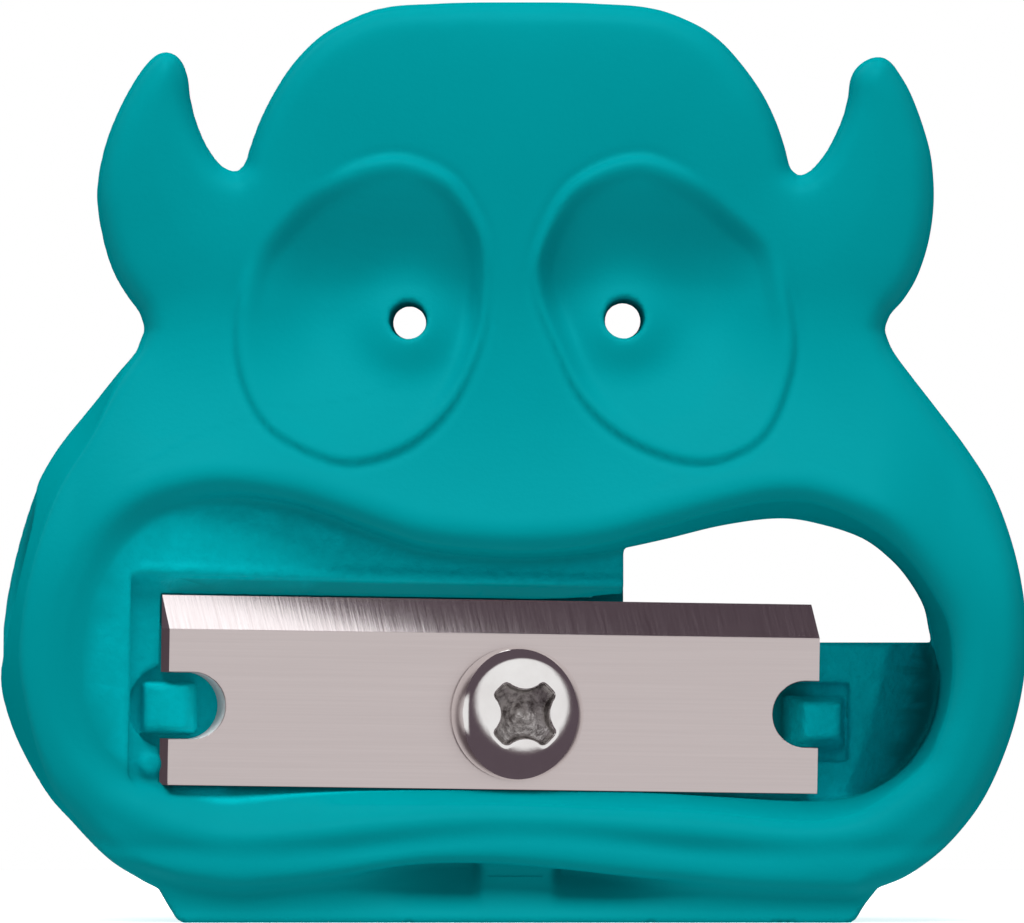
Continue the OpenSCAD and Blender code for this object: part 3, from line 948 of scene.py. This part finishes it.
# a card that only shows as a reflection, in the ground edge of the blade
card = softbox("edge_card", (0.0, -0.0120, 0.060), (0.0, -0.0120, 0), (0.12, 0.040), 0.020)
blade_only = bpy.data.collections.new("edge_card_receivers")
blade_only.objects.link(blade)
card.light_linking.receiver_collection = blade_only
card.visible_diffuse = False
card.visible_transmission = False
# the metal mirrors the world's studio, not these lights or the plastic round it
for thing in (overhead, front_box, body):
    thing.visible_glossy = False

world = bpy.data.worlds.new("studio")
bpy.context.scene.world = world
world.use_nodes = True
wt = world.node_tree
wt.nodes.clear()


def world_node(kind, **inputs):
    node = wt.nodes.new(kind)
    for key, value in inputs.items():
        node.inputs[key.replace("_", " ")].default_value = value
    return node


def mix_by(factor, first, second):
    node = wt.nodes.new("ShaderNodeMixShader")
    for source, socket in zip((factor, first, second), node.inputs):
        wt.links.new(source, socket)
    return node.outputs[0]


def glow(direction, dark_at, bright_at):
    """1 within a cone round a direction, 0 outside it; both limits are cosines."""
    dot = wt.nodes.new("ShaderNodeVectorMath")
    dot.operation = "DOT_PRODUCT"
    wt.links.new(toward, dot.inputs[0])
    dot.inputs[1].default_value = Vector(direction).normalized()
    cone = world_node("ShaderNodeMapRange", From_Min=dark_at, From_Max=bright_at)
    cone.interpolation_type = "SMOOTHSTEP"
    wt.links.new(dot.outputs["Value"], cone.inputs["Value"])
    return cone.outputs[0]


toward = world_node("ShaderNodeTexCoord").outputs["Generated"]
path = world_node("ShaderNodeLightPath").outputs
# soft light of the room: stronger from below than from above
height = world_node("ShaderNodeSeparateXYZ")
wt.links.new(toward, height.inputs[0])
strength = world_node("ShaderNodeMapRange", From_Min=-0.8, From_Max=-0.1, To_Min=0.92, To_Max=0.23)
wt.links.new(height.outputs["Z"], strength.inputs["Value"])
room = world_node("ShaderNodeBackground", Color=(1, 1, 1, 1))
wt.links.new(strength.outputs[0], room.inputs["Strength"])
# what polished metal mirrors: a bright wall in front, a patch at the left, and a dim room
bright = world_node("ShaderNodeMath")
bright.operation = "MAXIMUM"
wt.links.new(glow((0.36, -0.89, 0.24), 0.44, 0.62), bright.inputs[0])
wt.links.new(glow((-0.95, -0.31, 0.0), 0.88, 0.96), bright.inputs[1])
shade = world_node("ShaderNodeValToRGB")
wt.links.new(bright.outputs[0], shade.inputs["Fac"])
stops = shade.color_ramp.elements
stops[0].position, stops[0].color = 0.0, (0.10, 0.075, 0.09, 1)
stops[1].position, stops[1].color = 1.0, (0.86, 0.86, 0.86, 1)
stops.new(0.35).color = (0.20, 0.17, 0.18, 1)
mirror = world_node("ShaderNodeBackground", Strength=1.0)
wt.links.new(shade.outputs[0], mirror.inputs["Color"])
backdrop = world_node("ShaderNodeBackground", Color=(1, 1, 1, 1), Strength=1.0)
lit = mix_by(path["Is Glossy Ray"], room.outputs[0], mirror.outputs[0])
seen = mix_by(path["Is Camera Ray"], lit, backdrop.outputs[0])
wt.links.new(seen, world_node("ShaderNodeOutputWorld").inputs[0])

bpy.context.scene.view_settings.view_transform = "Standard"
bpy.context.scene.view_settings.look = "None"

# The camera looks straight at the face through a long lens, and the face fills the frame
SENSOR = 36.0
WIDE = 36.93 * MM                 # what the frame takes in, across
DISTANCE = 1.0
CAMERA_Z = 16.61 * MM
cam_data = bpy.data.cameras.new("camera")
cam_data.sensor_width = SENSOR
cam_data.lens = SENSOR * (DISTANCE - 0.004) / WIDE
cam_data.clip_start, cam_data.clip_end = 0.05, 20
cam = bpy.data.objects.new("camera", cam_data)
cam.location = ((MID_X - 0.03) * MM, -DISTANCE, CAMERA_Z)
cam.rotation_euler = (math.pi / 2, 0, 0)
bpy.context.scene.collection.objects.link(cam)
bpy.context.scene.camera = cam

bpy.context.view_layer.update()
